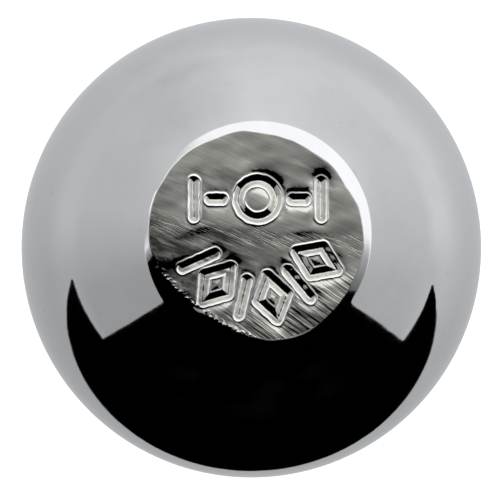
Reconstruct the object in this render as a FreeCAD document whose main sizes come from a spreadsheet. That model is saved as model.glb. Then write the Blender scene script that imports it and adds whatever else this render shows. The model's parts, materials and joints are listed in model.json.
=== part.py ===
"""Trailer hitch ball with a threaded shank, split lock washer and hex nut.

Every piece is a PartDesign body whose sizes are bound to the cells of one spreadsheet. The part's
frame has its origin where the shank leaves the flange's seat, +Z up the shank through the ball, in
millimetres. The ball stud is one forging: ball, neck, flange and shank.
"""

import math
import os

import FreeCAD
import Part
import Sketcher

Vector = FreeCAD.Vector
TABLE = "Dimensions"
FULL_TURN = 360

# The driving dimensions, in millimetres and degrees.
DIMENSIONS = {
    "ball_diameter": 47.625,
    "ball_height": 38.1,
    "bevel_diameter": 22.2,
    "land_diameter": 21.0,
    "land_height": 59.32,
    "neck_diameter": 26.0,
    "neck_upper_radius": 3.0,
    "neck_lower_radius": 6.0,
    "flange_diameter": 44.45,
    "flange_rim_height": 6.5,
    "flange_slope": 15.0,
    "flange_chamfer": 0.8,
    "wrench_width": 38.1,
    "wrench_height": 11.0,
    "shank_diameter": 19.05,
    "shank_length": 38.1,
    "shank_chamfer": 1.6,
    "plain_length": 9.525,
    "thread_diameter": 18.7,
    "thread_pitch": 2.54,
    "thread_depth": 1.558,
    "thread_flank": 30.0,
    "thread_overcut": 0.2,
    "thread_play": 0.08,
    "nut_bore_diameter": 16.5,
    "nut_thread_diameter": 19.3,
    "nut_width": 28.575,
    "nut_height": 16.27,
    "nut_setback": 1.73,
    "nut_chamfer_diameter": 27.2,
    "nut_mouth_diameter": 19.9,
    "washer_gap": 0.3,
    "washer_bore": 19.5,
    "washer_width": 6.15,
    "washer_thickness": 4.76,
    "washer_edge": 0.5,
    "washer_pitch": 2.36,
    "washer_turns": 0.995,
    "washer_slot": 1.6,
    "washer_slot_lean": 25.0,
    "mark_depth": 0.35,
    "mark_stroke": 0.9,
    "mark_length": 4.4,
    "row_height": 3.5,
    "row_bar_place": 6.3,
    "row_dash_place": 4.1,
    "row_dash_length": 2.1,
    "ring_diameter": 3.8,
    "arc_radius": 6.4,
    "arc_start": 204.0,
    "arc_step": 26.4,
    "diamond_width": 3.0,
}

doc = FreeCAD.newDocument("trailer_hitch_ball")


def make_table():
    """Puts each driving dimension in its own cell, under its name."""
    table = doc.addObject("Spreadsheet::Sheet", TABLE)
    for row, (name, value) in enumerate(DIMENSIONS.items(), start=1):
        table.set(f"A{row}", name)
        table.set(f"B{row}", str(value))
        table.setAlias(f"B{row}", name)
    doc.recompute()
    return table


def with_table(text):
    """An expression in which each dimension's name points at the table."""
    words = []
    word = ""
    for letter in text + " ":
        if letter.isalnum() or letter == "_":
            word += letter
            continue
        words.append(f"{TABLE}.{word}" if word in DIMENSIONS else word)
        words.append(letter)
        word = ""
    return "".join(words).strip()


def bind(thing, place, text):
    thing.setExpression(place, with_table(text))


# Bodies, planes and features


def new_body(name):
    body = doc.addObject("PartDesign::Body", name)
    body.Label = name
    return body


def origin_feature(body, role):
    return next(f for f in body.Origin.OriginFeatures if f.Role == role)


def new_sketch(body, name, plane, lift=None):
    """A sketch on one of the body's own planes, lifted along its normal if lift is given."""
    sketch = body.newObject("Sketcher::SketchObject", name)
    sketch.AttachmentSupport = [(origin_feature(body, plane), "")]
    sketch.MapMode = "FlatFace"
    if lift:
        bind(sketch, "AttachmentOffset.Base.z", lift)
    return sketch


def spun(body, kind, name, sketch):
    """A Revolution or Groove of the sketch about the body's Z axis."""
    feature = body.newObject(f"PartDesign::{kind}", name)
    feature.Profile = sketch
    feature.ReferenceAxis = (origin_feature(body, "Z_Axis"), [""])
    feature.Angle = FULL_TURN
    doc.recompute()
    return feature


def pocket(body, name, sketch, depth, upwards=False):
    feature = body.newObject("PartDesign::Pocket", name)
    feature.Profile = sketch
    feature.Reversed = upwards
    bind(feature, "Length", depth)
    doc.recompute()
    return feature


def helix(body, kind, name, sketch, **sizes):
    """An AdditiveHelix or SubtractiveHelix about the body's Z axis, set by pitch and height."""
    feature = body.newObject(f"PartDesign::{kind}", name)
    feature.Profile = sketch
    feature.ReferenceAxis = (origin_feature(body, "Z_Axis"), [""])
    feature.Mode = "pitch-height-angle"
    for place, text in sizes.items():
        bind(feature, place, text)
    doc.recompute()
    return feature


def around(body, name, feature, count, angle):
    """Repeats a feature about the Z axis, so that the last copy is angle from the first."""
    pattern = body.newObject("PartDesign::PolarPattern", name)
    pattern.Originals = [feature]
    pattern.Axis = (origin_feature(body, "Z_Axis"), [""])
    pattern.Occurrences = count
    bind(pattern, "Angle", angle)
    body.Tip = pattern
    doc.recompute()
    return pattern


# Sketch geometry


def value_of(sketch, text):
    found = sketch.evalExpression(with_table(text))
    return float(getattr(found, "Value", found))


def pin_down(sketch, geometry, end, x, y):
    """Holds one point of the sketch at two expressions, measured from the sketch's origin."""
    for kind, text in (("DistanceX", x), ("DistanceY", y)):
        place = sketch.addConstraint(
            Sketcher.Constraint(kind, -1, 1, geometry, end, value_of(sketch, text))
        )
        bind(sketch, f"Constraints[{place}]", text)


def polygon(sketch, corners):
    """A closed outline of straight edges through corners, each a pair of expressions."""
    points = [Vector(value_of(sketch, x), value_of(sketch, y), 0) for x, y in corners]
    ends = points[1:] + points[:1]
    edges = [sketch.addGeometry(Part.LineSegment(a, b)) for a, b in zip(points, ends)]
    for edge, following in zip(edges, edges[1:] + edges[:1]):
        sketch.addConstraint(Sketcher.Constraint("Coincident", edge, 2, following, 1))
    for edge, (x, y) in zip(edges, corners):
        pin_down(sketch, edge, 1, x, y)
    return edges


def circle(sketch, x, y, radius):
    centre = Vector(value_of(sketch, x), value_of(sketch, y), 0)
    size = value_of(sketch, radius)
    ring = sketch.addGeometry(Part.Circle(centre, Vector(0, 0, 1), size))
    pin_down(sketch, ring, 3, x, y)
    place = sketch.addConstraint(Sketcher.Constraint("Radius", ring, size))
    bind(sketch, f"Constraints[{place}]", radius)


def slot(sketch, start, end, width):
    """A round-ended slot from start to end, each a pair of expressions for an end's centre."""
    a, b = (Vector(value_of(sketch, x), value_of(sketch, y), 0) for x, y in (start, end))
    radius = value_of(sketch, width) / 2
    along = (b - a).normalize()
    side = Vector(-along.y, along.x, 0) * radius
    heading = math.atan2(along.y, along.x)
    half = math.pi / 2
    up = Vector(0, 0, 1)
    sides = [Part.LineSegment(a - side, b - side), Part.LineSegment(b + side, a + side)]
    nose = Part.ArcOfCircle(Part.Circle(b, up, radius), heading - half, heading + half)
    tail = Part.ArcOfCircle(Part.Circle(a, up, radius), heading + half, heading + 3 * half)
    first = sketch.addGeometry([sides[0], nose, sides[1], tail])[0]
    loop = [first, first + 1, first + 2, first + 3]
    for edge, following in zip(loop, loop[1:] + loop[:1]):
        sketch.addConstraint(Sketcher.Constraint("Tangent", edge, 2, following, 1))
    sketch.addConstraint(Sketcher.Constraint("Equal", loop[1], loop[3]))
    pin_down(sketch, loop[3], 3, *start)
    pin_down(sketch, loop[1], 3, *end)
    place = sketch.addConstraint(Sketcher.Constraint("Radius", loop[1], radius))
    bind(sketch, f"Constraints[{place}]", f"{width} / 2")


# Ball stud


def stud_outline(body):
    """Half of the stud's section: shank, flange, waisted neck, ball, bevel and land."""
    sketch = new_sketch(body, "stud_outline", "XZ_Plane")

    def size(text):
        return value_of(sketch, text)

    ball_radius = size("ball_diameter / 2")
    ball_height = size("ball_height")
    neck = size("neck_diameter / 2")
    upper = size("neck_upper_radius")
    lower = size("neck_lower_radius")
    slope = math.radians(size("flange_slope"))
    rim = size("flange_diameter / 2")
    rim_top = size("flange_rim_height")
    shank = size("shank_diameter / 2")
    thread = size("thread_diameter / 2")
    shoulder = -size("plain_length")
    foot = -size("shank_length")
    shank_chamfer = size("shank_chamfer")
    rim_chamfer = size("flange_chamfer")
    bevel = size("bevel_diameter / 2")
    land = size("land_diameter / 2")
    top = size("land_height")

    # The lower neck arc touches the flange's sloping top and the straight neck.
    lower_centre = Vector(
        neck + lower,
        rim_top + (rim - neck - lower) * math.tan(slope) + lower / math.cos(slope),
        0,
    )
    lower_touch = lower_centre - Vector(math.sin(slope), math.cos(slope), 0) * lower
    # The upper neck arc touches the straight neck and the ball.
    ball_centre = Vector(0, ball_height, 0)
    reach = ball_radius + upper
    upper_centre = Vector(
        neck + upper, ball_height - math.sqrt(reach**2 - (neck + upper) ** 2), 0
    )
    upper_touch = ball_centre + (upper_centre - ball_centre) * (ball_radius / reach)
    bevel_edge = Vector(bevel, ball_height + math.sqrt(ball_radius**2 - bevel**2), 0)

    up = Vector(0, 0, 1)
    straight = [
        Vector(0, foot, 0),
        Vector(thread - shank_chamfer, foot, 0),
        Vector(thread, foot + shank_chamfer, 0),
        Vector(thread, shoulder - (shank - thread), 0),
        Vector(shank, shoulder, 0),
        Vector(shank, 0, 0),
        Vector(rim - rim_chamfer, 0, 0),
        Vector(rim, rim_chamfer, 0),
        Vector(rim, rim_top, 0),
        lower_touch,
    ]
    lower_arc = Part.ArcOfCircle(
        Part.Circle(lower_centre, up, lower), math.pi, math.pi * 1.5 - slope
    )
    upper_turn = math.atan2(upper_touch.y - upper_centre.y, upper_touch.x - upper_centre.x)
    upper_arc = Part.ArcOfCircle(Part.Circle(upper_centre, up, upper), upper_turn, math.pi)
    ball_start = math.atan2(upper_touch.y - ball_height, upper_touch.x)
    ball_end = math.atan2(bevel_edge.y - ball_height, bevel_edge.x)
    ball_arc = Part.ArcOfCircle(Part.Circle(ball_centre, up, ball_radius), ball_start, ball_end)
    edges = [Part.LineSegment(a, b) for a, b in zip(straight, straight[1:])]
    edges += [
        lower_arc,
        Part.LineSegment(Vector(neck, lower_centre.y, 0), Vector(neck, upper_centre.y, 0)),
        upper_arc,
        ball_arc,
        Part.LineSegment(bevel_edge, Vector(land, top, 0)),
        Part.LineSegment(Vector(land, top, 0), Vector(0, top, 0)),
        Part.LineSegment(Vector(0, top, 0), Vector(0, foot, 0)),
    ]
    (
        end_face,
        end_chamfer,
        thread_side,
        shoulder_cone,
        plain_side,
        seat,
        seat_chamfer,
        rim_side,
        flange_top,
        lower_neck,
        neck_side,
        upper_neck,
        ball,
        bevel_side,
        land_face,
        axis,
    ) = sketch.addGeometry(edges)

    lines = [end_face, end_chamfer, thread_side, shoulder_cone, plain_side]
    lines += [seat, seat_chamfer, rim_side, flange_top]
    for edge, following in zip(lines, lines[1:]):
        sketch.addConstraint(Sketcher.Constraint("Coincident", edge, 2, following, 1))
    # The arcs run anticlockwise, so both neck arcs join the chain end first.
    for joined in (
        ("Tangent", flange_top, 2, lower_neck, 2),
        ("Tangent", lower_neck, 1, neck_side, 1),
        ("Tangent", neck_side, 2, upper_neck, 2),
        ("Tangent", upper_neck, 1, ball, 1),
        ("Coincident", ball, 2, bevel_side, 1),
        ("Coincident", bevel_side, 2, land_face, 1),
        ("Coincident", land_face, 2, axis, 1),
        ("Coincident", axis, 2, end_face, 1),
        ("Vertical", neck_side),
    ):
        sketch.addConstraint(Sketcher.Constraint(*joined))

    pin_down(sketch, end_face, 1, "0", "-shank_length")
    pin_down(sketch, end_chamfer, 1, "thread_diameter / 2 - shank_chamfer", "-shank_length")
    pin_down(sketch, thread_side, 1, "thread_diameter / 2", "shank_chamfer - shank_length")
    step = "(shank_diameter - thread_diameter) / 2"
    pin_down(sketch, shoulder_cone, 1, "thread_diameter / 2", f"-plain_length - {step}")
    pin_down(sketch, plain_side, 1, "shank_diameter / 2", "-plain_length")
    pin_down(sketch, seat, 1, "shank_diameter / 2", "0")
    pin_down(sketch, seat_chamfer, 1, "flange_diameter / 2 - flange_chamfer", "0")
    pin_down(sketch, rim_side, 1, "flange_diameter / 2", "flange_chamfer")
    pin_down(sketch, flange_top, 1, "flange_diameter / 2", "flange_rim_height")
    pin_down(sketch, ball, 3, "0", "ball_height")
    pin_down(sketch, land_face, 1, "land_diameter / 2", "land_height")
    pin_down(sketch, axis, 1, "0", "land_height")
    for kind, held, text in (
        ("Radius", (lower_neck,), "neck_lower_radius"),
        ("Radius", (upper_neck,), "neck_upper_radius"),
        ("Radius", (ball,), "ball_diameter / 2"),
        ("DistanceX", (-1, 1, neck_side, 1), "neck_diameter / 2"),
        ("DistanceX", (-1, 1, bevel_side, 1), "bevel_diameter / 2"),
    ):
        place = sketch.addConstraint(Sketcher.Constraint(kind, *held, size(text)))
        bind(sketch, f"Constraints[{place}]", text)
    slope_held = sketch.addConstraint(
        Sketcher.Constraint("Angle", flange_top, math.pi - slope)
    )
    bind(sketch, f"Constraints[{slope_held}]", "180 deg - flange_slope * 1 deg")
    return sketch


def cut_wrench_flats(body):
    """Two parallel flats on the flange, for holding the ball while the nut is tightened."""
    sketch = new_sketch(body, "wrench_flat_outline", "XY_Plane")
    for side in ("", "-"):
        inner = f"{side}wrench_width / 2"
        outer = f"{side}flange_diameter"
        reach = "flange_diameter / 2"
        polygon(
            sketch,
            [(f"-{reach}", inner), (reach, inner), (reach, outer), (f"-{reach}", outer)],
        )
    pocket(body, "wrench_flats", sketch, "wrench_height", upwards=True)


def cut_marks(body):
    """Plain stamped marks on the land: a straight row above an arc of bars and diamonds."""
    row = new_sketch(body, "row_outline", "XY_Plane", "land_height")
    for side in ("", "-"):
        bar = f"{side}row_bar_place"
        reach = "(mark_length - mark_stroke) / 2"
        slot(row, (bar, f"row_height - {reach}"), (bar, f"row_height + {reach}"), "mark_stroke")
        near, far = (
            f"{side}(row_dash_place {sign} (row_dash_length - mark_stroke) / 2)" for sign in "-+"
        )
        slot(row, (near, "row_height"), (far, "row_height"), "mark_stroke")
    for sign in "-+":
        circle(row, "0", "row_height", f"ring_diameter / 2 {sign} mark_stroke / 2")
    pocket(body, "row_marks", row, "mark_depth")

    bar = new_sketch(body, "bar_outline", "XY_Plane", "land_height")
    inner, outer = (
        (
            f"(arc_radius {sign} (mark_length - mark_stroke) / 2) * cos(arc_start * 1 deg)",
            f"(arc_radius {sign} (mark_length - mark_stroke) / 2) * sin(arc_start * 1 deg)",
        )
        for sign in "-+"
    )
    slot(bar, inner, outer, "mark_stroke")
    bar_marks = pocket(body, "bar_marks", bar, "mark_depth")
    around(body, "bars", bar_marks, 3, "arc_step * 4")

    diamond = new_sketch(body, "diamond_outline", "XY_Plane", "land_height")
    heading = "(arc_start + arc_step) * 1 deg"
    for sign in "-+":
        corners = []
        for along, across in ((1, 0), (0, 1), (-1, 0), (0, -1)):
            out = f"(arc_radius + {along} * (mark_length {sign} mark_stroke) / 2)"
            over = f"({across} * (diamond_width {sign} mark_stroke) / 2)"
            corners.append(
                (
                    f"{out} * cos({heading}) - {over} * sin({heading})",
                    f"{out} * sin({heading}) + {over} * cos({heading})",
                )
            )
        polygon(diamond, corners)
    diamond_marks = pocket(body, "diamond_marks", diamond, "mark_depth")
    around(body, "diamonds", diamond_marks, 3, "arc_step * 4")


def groove_corners(root, crest, root_half, middle):
    """A thread groove's section: narrow at root, opening to crest along both flanks."""
    crest_half = f"({root_half} + abs({crest} - {root}) * tan(thread_flank * 1 deg))"
    return [
        (root, f"{middle} - {root_half}"),
        (crest, f"{middle} - {crest_half}"),
        (crest, f"{middle} + {crest_half}"),
        (root, f"{middle} + {root_half}"),
    ]


def cut_shank_thread(body):
    """A right-hand thread from the shank's end, with one turn that runs out to the plain shank."""
    root = "(shank_diameter / 2 - thread_depth)"
    crest = "(shank_diameter / 2 + thread_overcut)"
    root_half = "(thread_pitch * 7 / 16 - thread_depth * tan(thread_flank * 1 deg))"
    below = "(-shank_length - thread_pitch)"
    turns = "floor((shank_length - plain_length) / thread_pitch)"
    full_height = f"{turns} * thread_pitch"

    groove = new_sketch(body, "thread_groove", "XZ_Plane")
    polygon(groove, groove_corners(root, crest, root_half, below))
    helix(
        body, "SubtractiveHelix", "shank_thread", groove, Pitch="thread_pitch", Height=full_height
    )
    runout = new_sketch(body, "runout_groove", "XZ_Plane")
    polygon(runout, groove_corners(root, crest, root_half, f"({below} + {full_height})"))
    helix(
        body,
        "SubtractiveHelix",
        "thread_runout",
        runout,
        Pitch="thread_pitch",
        Height="thread_pitch",
        Angle="atan((thread_depth + thread_overcut) / thread_pitch)",
    )


def make_ball_stud():
    body = new_body("ball_stud")
    spun(body, "Revolution", "stud_blank", stud_outline(body))
    cut_wrench_flats(body)
    cut_marks(body)
    cut_shank_thread(body)
    return body


# Lock washer


def make_lock_washer():
    """A split spring washer at its free height, with its slot leaning across the ring."""
    body = new_body("lock_washer")
    section = new_sketch(body, "washer_section", "XZ_Plane")
    inner = "washer_bore / 2"
    outer = "(washer_bore / 2 + washer_width)"
    polygon(
        section,
        [
            (inner, "0"),
            (f"{outer} - washer_edge", "0"),
            (outer, "washer_edge"),
            (outer, "washer_thickness - washer_edge"),
            (f"{outer} - washer_edge", "washer_thickness"),
            (inner, "washer_thickness"),
        ],
    )
    helix(
        body,
        "AdditiveHelix",
        "washer_coil",
        section,
        Pitch="washer_pitch",
        Height="washer_pitch * washer_turns",
    )
    slit = new_sketch(body, "slot_outline", "YZ_Plane")
    lean = "tan(washer_slot_lean * 1 deg)"
    low = "-washer_thickness"
    high = "washer_thickness * 3"
    middle = "washer_thickness * 0.75"
    polygon(
        slit,
        [
            (f"{side} * washer_slot / 2 + ({level} - {middle}) * {lean}", level)
            for side, level in ((-1, low), (1, low), (1, high), (-1, high))
        ],
    )
    pocket(body, "washer_slot", slit, "washer_bore", upwards=True)
    bind(body, "Placement.Base.z", "nut_setback + nut_height + washer_gap - shank_length")
    return body


# Nut


def hexagon(sketch, width):
    corners = []
    for corner in range(6):
        turn = f"({corner} * 60 + 30) * 1 deg"
        reach = f"({width} / 2 / cos(30 deg))"
        corners.append((f"{reach} * cos({turn})", f"{reach} * sin({turn})"))
    polygon(sketch, corners)


def make_hex_nut():
    body = new_body("hex_nut")
    outline = new_sketch(body, "hexagon", "XY_Plane")
    hexagon(outline, "nut_width")
    blank = body.newObject("PartDesign::Pad", "nut_blank")
    blank.Profile = outline
    bind(blank, "Length", "nut_height")
    doc.recompute()

    bore = new_sketch(body, "bore_outline", "XY_Plane")
    circle(bore, "0", "0", "nut_bore_diameter / 2")
    pocket(body, "nut_bore", bore, "nut_height", upwards=True)

    corners = new_sketch(body, "corner_chamfers", "XZ_Plane")
    mouths = new_sketch(body, "mouth_chamfers", "XZ_Plane")
    chamfer = "nut_chamfer_diameter / 2"
    outside = "nut_width"
    drop = f"({outside} - {chamfer}) * tan(30 deg)"
    bore_inside = "nut_bore_diameter / 4"
    mouth = "nut_mouth_diameter / 2"
    mouth_drop = f"({mouth} - {bore_inside})"
    for level, inward in (("0", "+"), ("nut_height", "-")):
        polygon(corners, [(chamfer, level), (outside, level), (outside, f"{level} {inward} {drop}")])
        polygon(
            mouths,
            [(bore_inside, level), (mouth, level), (bore_inside, f"{level} {inward} {mouth_drop}")],
        )
    spun(body, "Groove", "nut_corners", corners)
    spun(body, "Groove", "nut_mouths", mouths)

    # The nut's groove lies on the shank's ridge, half a pitch from the shank's groove.
    root = "(nut_thread_diameter / 2)"
    crest = "(nut_bore_diameter / 2 - thread_overcut)"
    flank = "tan(thread_flank * 1 deg)"
    ridge_half = f"(thread_pitch / 16 - (nut_thread_diameter - shank_diameter) / 2 * {flank})"
    groove = new_sketch(body, "nut_groove", "XZ_Plane")
    polygon(
        groove,
        groove_corners(
            root, crest, f"({ridge_half} + thread_play)", "(-nut_setback - thread_pitch * 1.5)"
        ),
    )
    helix(
        body,
        "SubtractiveHelix",
        "nut_thread",
        groove,
        Pitch="thread_pitch",
        Height="nut_height + nut_setback + thread_pitch * 3",
    )
    bind(body, "Placement.Base.z", "nut_setback - shank_length")
    return body


# Checks and export


def stop_if_broken(bodies):
    """Stops if any feature failed, a cut removed nothing, or a body isn't one valid solid."""
    for thing in doc.Objects:
        if {"Invalid", "Error"} & set(thing.State):
            raise RuntimeError(f"{thing.Name} is {thing.State}")
    for body in bodies:
        before = 0.0
        for feature in body.Group:
            if not feature.isDerivedFrom("PartDesign::Feature"):
                continue
            volume = feature.Shape.Volume
            if abs(volume - before) < 1e-3:
                raise RuntimeError(f"{feature.Name} changed nothing")
            before = volume
        shape = body.Shape
        if shape.isNull() or not shape.isValid() or len(shape.Solids) != 1:
            raise RuntimeError(f"{body.Label} isn't one valid solid")


def main():
    make_table()
    bodies = [make_ball_stud(), make_lock_washer(), make_hex_nut()]
    doc.recompute()
    stop_if_broken(bodies)
    os.makedirs("parts", exist_ok=True)
    for body in bodies:
        body.Shape.exportStep(os.path.join("parts", f"{body.Label}.step"))
        box = body.Shape.optimalBoundingBox()
        print(
            f"{body.Label}: volume {body.Shape.Volume:.1f}, "
            f"X {box.XMin:.2f} to {box.XMax:.2f}, "
            f"Y {box.YMin:.2f} to {box.YMax:.2f}, "
            f"Z {box.ZMin:.2f} to {box.ZMax:.2f}"
        )


main()
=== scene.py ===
import json
import math

import bpy
import numpy as np
from mathutils import Matrix, Vector


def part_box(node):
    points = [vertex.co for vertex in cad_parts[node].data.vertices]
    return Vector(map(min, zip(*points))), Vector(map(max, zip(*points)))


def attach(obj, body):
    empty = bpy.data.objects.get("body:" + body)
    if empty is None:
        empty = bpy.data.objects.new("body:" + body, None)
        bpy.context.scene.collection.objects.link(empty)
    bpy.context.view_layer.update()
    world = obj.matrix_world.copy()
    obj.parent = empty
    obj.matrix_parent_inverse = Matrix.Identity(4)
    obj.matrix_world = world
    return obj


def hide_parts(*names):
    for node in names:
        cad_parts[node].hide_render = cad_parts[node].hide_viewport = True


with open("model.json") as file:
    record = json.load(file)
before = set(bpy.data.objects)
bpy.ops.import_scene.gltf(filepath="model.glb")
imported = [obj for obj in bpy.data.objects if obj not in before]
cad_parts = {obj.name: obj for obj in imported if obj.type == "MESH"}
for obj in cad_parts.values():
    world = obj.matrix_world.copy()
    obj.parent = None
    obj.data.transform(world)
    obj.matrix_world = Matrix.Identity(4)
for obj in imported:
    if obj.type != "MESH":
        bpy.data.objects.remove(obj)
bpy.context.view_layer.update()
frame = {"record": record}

MM = 0.001
TURN = 2 * math.pi
MOUNTS = {mount["name"]: mount for mount in frame["record"]["mounts"]}

# Sizes in millimetres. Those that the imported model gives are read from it.
STUD_LOW, STUD_HIGH = (Vector(corner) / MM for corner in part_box("ball_stud"))
NUT_LOW, NUT_HIGH = (Vector(corner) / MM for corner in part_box("hex_nut"))
WASHER_LOW, WASHER_HIGH = (Vector(corner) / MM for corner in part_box("lock_washer"))
BALL_Z = MOUNTS["ball"]["pos_m"][2] / MM
BALL_R = 23.8125
LAND_Z = STUD_HIGH.z
SHANK_END = STUD_LOW.z
SHANK_R = MOUNTS["shank"]["dims"]["r_mm"]
PLAIN_LENGTH = MOUNTS["shank"]["dims"]["length_mm"]
THREAD_R = 9.35
THREAD_ROOT = SHANK_R - 1.558
PITCH = 2.54
THREAD_TOP = -12.7
NECK_R = 13.0
NECK_UPPER = 3.0
NECK_LOWER = 6.0
FLANGE_R = 22.225
FLANGE_RIM = 6.5
FLANGE_SLOPE = math.radians(15)
WRENCH_HALF = 19.05
CAP_R = 11.95
CAP_CELLS = 132
CAP_SPLIT = 3
SEGMENTS = 176


def smooth_step(low, high, value):
    share = np.clip((value - low) / (high - low), 0, 1)
    return share * share * (3 - 2 * share)


def soft_min(a, b, width):
    """The lower of two heights, with the corner between them rounded over width."""
    share = np.clip(0.5 + 0.5 * (b - a) / width, 0, 1)
    return b + (a - b) * share - width * share * (1 - share)


def waves(x, y, size, seed, count=16):
    """Smooth seeded noise of about unit size: a sum of plane waves, each about size long."""
    random = np.random.default_rng(seed)
    total = np.zeros_like(x)
    for _ in range(count):
        heading = random.uniform(0, TURN)
        length = size * random.uniform(0.7, 1.7)
        phase = random.uniform(0, TURN)
        along = x * math.cos(heading) + y * math.sin(heading)
        total += np.cos(along * TURN / length + phase)
    return total / math.sqrt(count / 2)


def streaks(x, y, lean, length, width, seed):
    """Noise drawn out along a line that leans lean degrees from +X."""
    turn = math.radians(lean)
    along = x * math.cos(turn) + y * math.sin(turn)
    across = y * math.cos(turn) - x * math.sin(turn)
    return waves(along / length, across / width, 1.0, seed, 24)


# Mesh building

WELD = 2e-4


class Builder:
    """Collects patches of faces with their own corner normals, and welds them into one mesh."""

    def __init__(self):
        self.points = []
        self.normals = []
        self.loops = []
        self.sizes = []
        self.slots = []
        self.count = 0

    def add(self, points, normals, faces, slot=0):
        """Adds faces, each a list of point indices, and turns them to face along the normals."""
        points = np.asarray(points, float).reshape(-1, 3)
        normals = np.asarray(normals, float).reshape(-1, 3)
        normals = normals / np.linalg.norm(normals, axis=1, keepdims=True)
        facing = 0.0
        for face in faces[:: max(1, len(faces) // 400)]:
            ring = points[face]
            facing += np.cross(ring, np.roll(ring, -1, axis=0)).sum(axis=0) @ normals[face].sum(axis=0)
        if facing < 0:
            faces = [face[::-1] for face in faces]
        self.points.append(points)
        self.normals.append(normals)
        self.loops.append(np.concatenate([np.asarray(face, int) for face in faces]) + self.count)
        self.sizes.append(np.array([len(face) for face in faces]))
        self.slots.append(np.full(len(faces), slot))
        self.count += len(points)

    def grid(self, points, normals, slot=0):
        """Adds a grid of quads from arrays of rows by columns by three."""
        rows, columns = points.shape[:2]
        index = np.arange(rows * columns).reshape(rows, columns)
        corners = (index[:-1, :-1], index[:-1, 1:], index[1:, 1:], index[1:, :-1])
        self.add(points, normals, np.stack([c.ravel() for c in corners], axis=1).tolist(), slot)

    def object(self, name, materials):
        loops = np.concatenate(self.loops)
        points = np.concatenate(self.points)[loops]
        normals = np.concatenate(self.normals)[loops]
        # The offset keeps round numbers, which seams often share, off the cells' borders.
        cell = np.round(points / WELD + 0.13).astype(np.int64) + 2**19
        key = (cell[:, 0] * 2**20 + cell[:, 1]) * 2**20 + cell[:, 2]
        _, first, welded = np.unique(key, return_index=True, return_inverse=True)
        welded = welded.ravel().tolist()
        faces = []
        used = []
        slots = []
        start = 0
        for size, slot in zip(np.concatenate(self.sizes), np.concatenate(self.slots)):
            ring = []
            for loop in range(start, start + size):
                if not ring or welded[loop] not in (welded[ring[-1]], welded[ring[0]]):
                    ring.append(loop)
            start += size
            if len(ring) >= 3:
                faces.append([welded[loop] for loop in ring])
                used.extend(ring)
                slots.append(slot)
        mesh = bpy.data.meshes.new(name)
        mesh.from_pydata((points[first] * MM).tolist(), [], faces)
        mesh.polygons.foreach_set("use_smooth", np.ones(len(faces), bool))
        mesh.polygons.foreach_set("material_index", np.array(slots, np.int32))
        mesh.update()
        mesh.normals_split_custom_set(normals[np.array(used)].tolist())
        piece = bpy.data.objects.new(name, mesh)
        bpy.context.collection.objects.link(piece)
        for material in materials:
            mesh.materials.append(material)
        return piece


def turned(radius, height, slope_r, slope_z, angles):
    """Points and normals of rings about Z: radius, height and normal for each row."""
    cos, sin = np.cos(angles), np.sin(angles)
    radius, height, slope_r, slope_z = (
        np.asarray(v, float)[:, None] for v in (radius, height, slope_r, slope_z)
    )
    flat = np.ones_like(cos)
    points = np.stack([radius * cos, radius * sin, height * flat], axis=2)
    normals = np.stack([slope_r * cos, slope_r * sin, slope_z * flat], axis=2)
    return points, normals


def arc_rows(centre_r, centre_z, radius, start, end, count, inward=False):
    """Rows of an arc in the section: angles in radians from +r towards +Z."""
    turn = np.linspace(start, end, count)
    sign = -1 if inward else 1
    return (
        centre_r + radius * np.cos(turn),
        centre_z + radius * np.sin(turn),
        sign * np.cos(turn),
        sign * np.sin(turn),
    )


# The land: the flat on top of the ball

LAND = LAND_Z - BALL_Z
LAND_DROP = 0.03
FLAT_R = 11.32
FLAT_DROP = LAND - math.sqrt(BALL_R**2 - FLAT_R**2)
MARK_REACH = 1.75
GROOVE_HALF = 0.5
GROOVE_DEPTH = 0.20
LIP_AWAY = 0.60
LIP_HIGH = 0.052
LIP_WIDE = 0.14
ROW_Y = 3.5
ARC_R = 6.4
# The bevel's inner radius at each heading in degrees. It was ground by hand, so its width varies.
BEVEL_HEADINGS = [0, 20, 45, 65, 90, 115, 135, 160, 180, 190, 200, 215, 232, 250, 265, 280, 300, 330]
BEVEL_RADII = [
    10.4, 10.1, 9.7, 9.85, 10.15, 10.5, 10.7, 10.75, 10.75,
    10.6, 10.1, 9.4, 9.05, 9.4, 10.0, 10.6, 10.75, 10.4,
]


def from_segment(x, y, start, end):
    ax, ay = start
    bx, by = end[0] - ax, end[1] - ay
    share = np.clip(((x - ax) * bx + (y - ay) * by) / (bx * bx + by * by), 0, 1)
    return np.hypot(x - ax - share * bx, y - ay - share * by)


def mark_strokes():
    """Centre lines of the stamped marks: a straight row over an arc of bars and diamonds."""
    strokes = []
    for side in (-1, 1):
        strokes.append(((side * 6.3, ROW_Y - MARK_REACH), (side * 6.3, ROW_Y + MARK_REACH)))
        strokes.append(((side * 3.5, ROW_Y), (side * 4.7, ROW_Y)))
    for place in range(6):
        turn = math.radians(204.0 + 26.4 * place)
        out = Vector((math.cos(turn), math.sin(turn)))
        over = Vector((-out.y, out.x))
        middle = out * ARC_R
        if place % 2 == 0:
            strokes.append((tuple(middle - out * MARK_REACH), tuple(middle + out * MARK_REACH)))
            continue
        tips = [middle + out * 2.2, middle + over * 1.5, middle - out * 2.2, middle - over * 1.5]
        for tip, following in zip(tips, tips[1:] + tips[:1]):
            strokes.append((tuple(tip), tuple(following)))
    return strokes


STROKES = mark_strokes()


def from_marks(x, y):
    """Distance from the nearest mark's centre line."""
    nearest = np.abs(np.hypot(x, y - ROW_Y) - 1.9)
    for start, end in STROKES:
        nearest = np.minimum(nearest, from_segment(x, y, start, end))
    return nearest


def bevel_radius(x, y):
    heading = np.degrees(np.arctan2(y, x))
    radii = [np.interp(heading + off, BEVEL_HEADINGS, BEVEL_RADII, period=360) for off in (-5, 0, 5)]
    return sum(radii) / 3


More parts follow.
